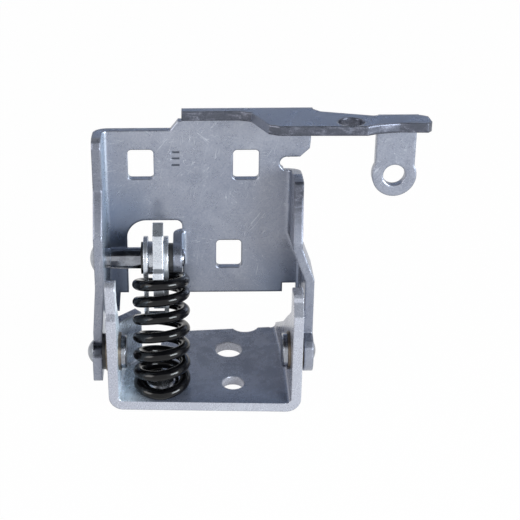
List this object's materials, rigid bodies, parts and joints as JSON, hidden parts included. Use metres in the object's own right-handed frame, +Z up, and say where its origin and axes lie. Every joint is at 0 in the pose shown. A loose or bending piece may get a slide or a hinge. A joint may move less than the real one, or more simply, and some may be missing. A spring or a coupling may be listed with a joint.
{
  "type": "car door hinge",
  "caption": "Car door hinge of bent sheet steel with a coil spring door check, a tall door leaf with square holes and a side arm.",
  "frame": {"origin": "underside of the base leaf, under the hinge axis, midway between the outer faces of the two ears", "axes": "+X along the hinge axis to the side of the arm, +Y towards the door leaf's plate, +Z up from the base"},
  "size_m": [0.134, 0.0588, 0.1177],
  "materials": {
    "zinc_base": "zinc plated",
    "zinc_door": "zinc plated",
    "pin_steel": "bright steel",
    "bronze": "dull bronze",
    "washer_dark": "satin",
    "strut_steel": "zinc plated",
    "spring_black": "gloss"
  },
  "bodies": {
    "base": {"base_leaf": "zinc_base", "bushing_left_inner": "bronze", "bushing_left_outer": "bronze", "bushing_right_inner": "bronze", "bushing_right_outer": "bronze", "thrust_washer": "washer_dark", "spring_seat": "strut_steel", "check_spring": "spring_black"},
    "leaf": {"door_leaf": "zinc_door", "pin_left": "pin_steel", "pin_right": "pin_steel", "cross_pin": "pin_steel", "cross_washer_left": "washer_dark", "cross_washer_right": "washer_dark"},
    "strut": {"yoke": "strut_steel", "cam_plate": "strut_steel"},
    "roller": {"roller": "strut_steel"}
  },
  "joints": [
    {"name": "leaf_swing", "type": "hinge", "parent": "base", "child": "leaf", "pos_m": [0, 0, 0.02], "axis": [1, 0, 0], "range_deg": [-45, 17], "deforming": ["check_spring"]},
    {"name": "strut_pivot", "type": "hinge", "parent": "leaf", "child": "strut", "pos_m": [0, 0.01298, 0.05648], "axis": [1, 0, 0], "range_deg": [-6, 14]},
    {"name": "roller_spin", "type": "hinge", "parent": "leaf", "child": "roller", "pos_m": [0, 0.01298, 0.05648], "axis": [1, 0, 0], "continuous": true}
  ],
  "couplings": [
    {"joint": "strut_pivot", "follows": "leaf_swing", "ratio": -0.28}
  ]
}
